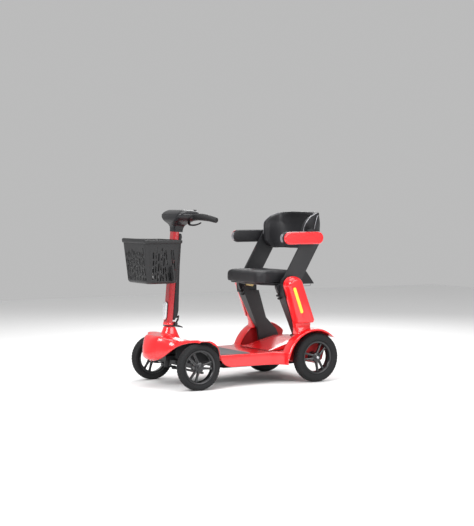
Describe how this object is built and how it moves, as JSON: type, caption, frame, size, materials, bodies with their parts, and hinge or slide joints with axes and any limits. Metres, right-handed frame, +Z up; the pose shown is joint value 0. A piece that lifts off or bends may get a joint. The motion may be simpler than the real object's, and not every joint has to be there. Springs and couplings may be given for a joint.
{
  "type": "mobility scooter",
  "caption": "Folding mobility scooter with a steering tiller and front basket, a flat footwell, and an upright seat with folding backrest and flip-up armrests.",
  "frame": {"origin": "on the floor, at the middle of the bounding box", "axes": "-Y is the direction of travel, +Z up, +X the rider's left"},
  "size_m": [0.572, 1.032, 0.8753],
  "materials": {
    "chassis_metal": "satin black powder coat",
    "black_alloy": "gloss black coated alloy",
    "red_shell": "glossy red moulding",
    "black_plastic": "fine moulded grain",
    "mat_rubber": "ribbed grey mat",
    "grip_rubber": "soft ribbed rubber",
    "tyre": "matt black tread",
    "steel": "turned steel",
    "brass": "zinc-yellow passivated shaft",
    "silver": "silver lamp face",
    "reflector": "prismatic yellow reflector",
    "upholstery": "black synthetic leather",
    "screen": "glossy display window"
  },
  "bodies": {
    "chassis": {"chassis_frame": "chassis_metal", "deck_shell": "red_shell", "floor_mat": "mat_rubber", "front_fairing": "red_shell", "controller": "black_alloy", "gearbox": "black_alloy", "motor": "black_alloy", "head_tube": "chassis_metal", "front_axle_beam": "chassis_metal", "rear_fender_left": "red_shell", "rear_fender_right": "red_shell", "leg_frame_left": "black_alloy", "leg_frame_right": "black_alloy", "leg_cover_left": "red_shell", "leg_cover_right": "red_shell", "reflector_left": "reflector", "reflector_right": "reflector", "seat_pin_left": "brass", "seat_pin_right": "brass"},
    "battery": {"battery_pack": "red_shell"},
    "knuckle_left": {"knuckle_left": "chassis_metal"},
    "knuckle_right": {"knuckle_right": "chassis_metal"},
    "tie_rod": {"tie_rod": "chassis_metal"},
    "front_wheel_left": {"front_tyre_left": "tyre", "front_rim_left": "black_alloy"},
    "front_wheel_right": {"front_tyre_right": "tyre", "front_rim_right": "black_alloy"},
    "rear_wheel_left": {"rear_tyre_left": "tyre", "rear_rim_left": "black_alloy", "rear_shaft_left": "steel"},
    "rear_wheel_right": {"rear_tyre_right": "tyre", "rear_rim_right": "black_alloy", "rear_shaft_right": "steel"},
    "column": {"steering_column": "chassis_metal", "fold_base": "chassis_metal"},
    "tiller": {"stem_tube": "red_shell", "stem_cover": "black_plastic", "headlight": "silver", "cable_loop": "black_plastic", "console_shell": "black_plastic", "console_panel": "screen", "handlebar": "black_alloy", "grip_left": "grip_rubber", "grip_right": "grip_rubber"},
    "latch": {"fold_latch": "black_plastic"},
    "basket": {"basket": "black_plastic"},
    "brake_lever": {"brake_lever": "black_plastic"},
    "throttle_lever": {"throttle_lever": "black_plastic"},
    "speed_knob": {"speed_knob": "black_plastic"},
    "horn_button": {"horn_button": "reflector"},
    "seat": {"seat_pan": "black_plastic", "seat_cushion": "upholstery"},
    "backrest": {"backrest_board_left": "black_alloy", "backrest_board_right": "black_alloy", "backrest_pad": "upholstery"},
    "armrest_left": {"armrest_left": "upholstery", "armrest_cap_left": "red_shell"},
    "armrest_right": {"armrest_right": "upholstery", "armrest_cap_right": "red_shell"},
    "bail": {"release_bail": "steel"}
  },
  "joints": [
    {"name": "steering", "type": "hinge", "parent": "chassis", "child": "column", "pos_m": [0, -0.313, 0.297], "axis": [0, 0.0837, 0.9965], "range_deg": [-26, 26]},
    {"name": "kingpin_left", "type": "hinge", "parent": "chassis", "child": "knuckle_left", "pos_m": [0.205, -0.285, 0.114], "axis": [0, 0.0837, 0.9965], "range_deg": [-26, 26]},
    {"name": "kingpin_right", "type": "hinge", "parent": "chassis", "child": "knuckle_right", "pos_m": [-0.205, -0.285, 0.114], "axis": [0, 0.0837, 0.9965], "range_deg": [-26, 26]},
    {"name": "tie_rod_pivot", "type": "hinge", "parent": "knuckle_left", "child": "tie_rod", "pos_m": [0.205, -0.24566, 0.08059], "axis": [0, 0.0837, 0.9965], "range_deg": [-26, 26]},
    {"name": "front_wheel_spin_left", "type": "hinge", "parent": "knuckle_left", "child": "front_wheel_left", "pos_m": [0.25, -0.285, 0.114], "axis": [1, 0, 0], "continuous": true},
    {"name": "rear_wheel_spin_left", "type": "hinge", "parent": "chassis", "child": "rear_wheel_left", "pos_m": [0.25, 0.391, 0.125], "axis": [1, 0, 0], "continuous": true},
    {"name": "front_wheel_spin_right", "type": "hinge", "parent": "knuckle_right", "child": "front_wheel_right", "pos_m": [-0.25, -0.285, 0.114], "axis": [1, 0, 0], "continuous": true},
    {"name": "rear_wheel_spin_right", "type": "hinge", "parent": "chassis", "child": "rear_wheel_right", "pos_m": [-0.25, 0.391, 0.125], "axis": [1, 0, 0], "continuous": true},
    {"name": "tiller_fold", "type": "hinge", "parent": "column", "child": "tiller", "pos_m": [0, -0.28592, 0.30878], "axis": [1, 0, 0], "range_deg": [-42, 0], "deforming": ["cable_loop"]},
    {"name": "latch_lift", "type": "hinge", "parent": "column", "child": "latch", "pos_m": [0, -0.27314, 0.29365], "axis": [1, 0, 0], "range_deg": [0, 25], "stiffness_Nm_per_rad": 0.4},
    {"name": "basket_lift", "type": "slide", "parent": "tiller", "child": "basket", "axis": [0, 0.0837, 0.9965], "range_m": [0, 0.06]},
    {"name": "brake_squeeze", "type": "hinge", "parent": "tiller", "child": "brake_lever", "pos_m": [0.06, -0.23462, 0.80021], "axis": [0, 0.0837, 0.9965], "range_deg": [0, 20], "stiffness_Nm_per_rad": 0.3},
    {"name": "throttle_squeeze", "type": "hinge", "parent": "tiller", "child": "throttle_lever", "pos_m": [-0.06, -0.23462, 0.80021], "axis": [0, -0.0837, -0.9965], "range_deg": [0, 20], "stiffness_Nm_per_rad": 0.3},
    {"name": "speed_turn", "type": "hinge", "parent": "tiller", "child": "speed_knob", "pos_m": [0.07, -0.20801, 0.85417], "axis": [0, 0.0837, 0.9965], "range_deg": [0, 270]},
    {"name": "horn_press", "type": "slide", "parent": "tiller", "child": "horn_button", "axis": [0, -0.0837, -0.9965], "range_m": [0, 0.0025], "stiffness_N_per_m": 400},
    {"name": "seat_flip", "type": "hinge", "parent": "chassis", "child": "seat", "pos_m": [0, 0.222, 0.481], "axis": [1, 0, 0], "range_deg": [-80, 0]},
    {"name": "backrest_fold", "type": "hinge", "parent": "chassis", "child": "backrest", "pos_m": [0, 0.26, 0.498], "axis": [1, 0, 0], "range_deg": [0, 95]},
    {"name": "armrest_flip_left", "type": "hinge", "parent": "backrest", "child": "armrest_left", "pos_m": [0.25, 0.394, 0.734], "axis": [1, 0, 0], "range_deg": [-90, 0]},
    {"name": "armrest_flip_right", "type": "hinge", "parent": "backrest", "child": "armrest_right", "pos_m": [-0.25, 0.394, 0.734], "axis": [1, 0, 0], "range_deg": [-90, 0]},
    {"name": "battery_lift", "type": "slide", "parent": "chassis", "child": "battery", "axis": [0, 0, 1], "range_m": [0, 0.12]},
    {"name": "bail_swing", "type": "hinge", "parent": "seat", "child": "bail", "pos_m": [0.155, 0.395, 0.4925], "axis": [0, 1, 0], "range_deg": [-5, 25]}
  ],
  "couplings": [
    {"joint": "kingpin_left", "follows": "steering", "ratio": 1},
    {"joint": "kingpin_right", "follows": "steering", "ratio": 1},
    {"joint": "tie_rod_pivot", "follows": "steering", "ratio": -1}
  ]
}
